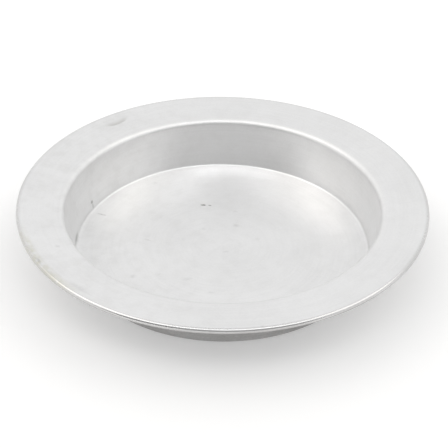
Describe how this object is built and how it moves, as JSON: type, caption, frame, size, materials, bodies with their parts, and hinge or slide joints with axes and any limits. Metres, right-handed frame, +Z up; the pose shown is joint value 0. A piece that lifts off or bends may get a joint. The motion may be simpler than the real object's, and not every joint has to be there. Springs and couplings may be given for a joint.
{
  "type": "pie tin",
  "caption": "Round sheet-aluminium pie tin: flat floor with a softly upswept edge, plain flared wall, rounded lip and a wide rim with its edge rolled under.",
  "frame": {"origin": "centre of the floor's underside, on the surface that the tin stands on", "axes": "+Z up along the tin's axis; the dent in the rim lies between -X and +Y"},
  "size_m": [0.254, 0.254, 0.0398],
  "materials": {
    "satin_aluminium": "satin spun aluminium, lightly worn"
  },
  "bodies": {
    "root": {"pie_tin": "satin_aluminium"}
  },
  "joints": []
}
